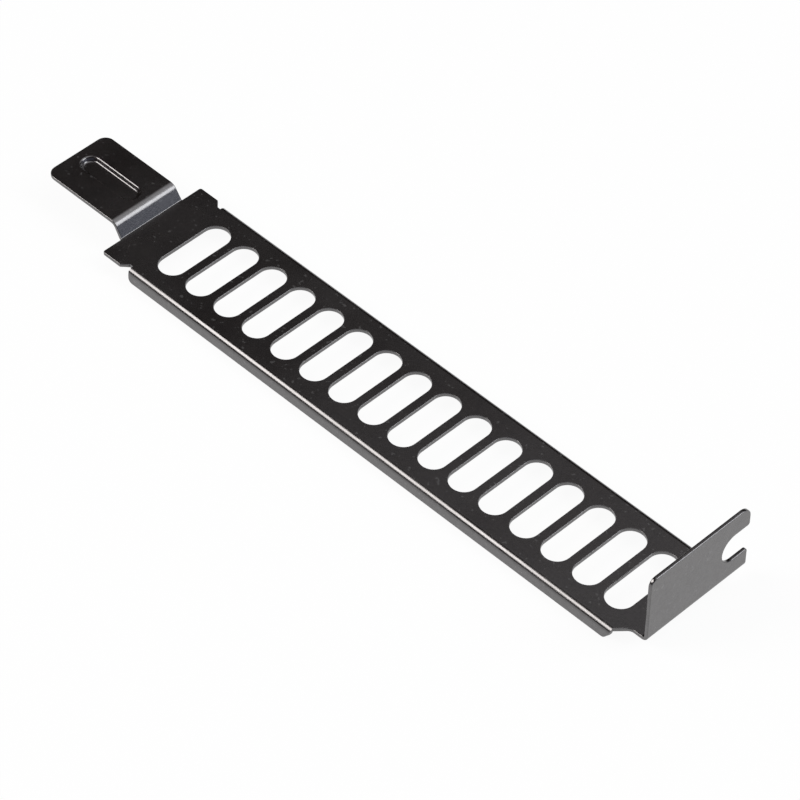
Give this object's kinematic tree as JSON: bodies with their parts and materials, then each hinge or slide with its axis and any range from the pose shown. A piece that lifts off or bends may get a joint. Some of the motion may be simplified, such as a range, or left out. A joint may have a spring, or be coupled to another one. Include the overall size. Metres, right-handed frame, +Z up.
{
  "type": "expansion slot cover",
  "caption": "Vented slot cover folded from one steel sheet: slotted plate with low side flanges, a stepped beaded tongue and an upright tab with an open screw notch.",
  "frame": {"origin": "centre of the bounding box's base, in the plane of the two side flanges' lower edges, on which the cover lies", "axes": "+X along the plate from the tongue to the tab, +Y across the plate towards the open side of the screw notch, +Z up, out of the plate's outer face and along the tab"},
  "size_m": [0.1206, 0.0218, 0.0138],
  "materials": {
    "coated_steel": "semi-gloss black coating with light handling wear"
  },
  "bodies": {
    "root": {"slot_cover": "coated_steel"}
  },
  "joints": []
}
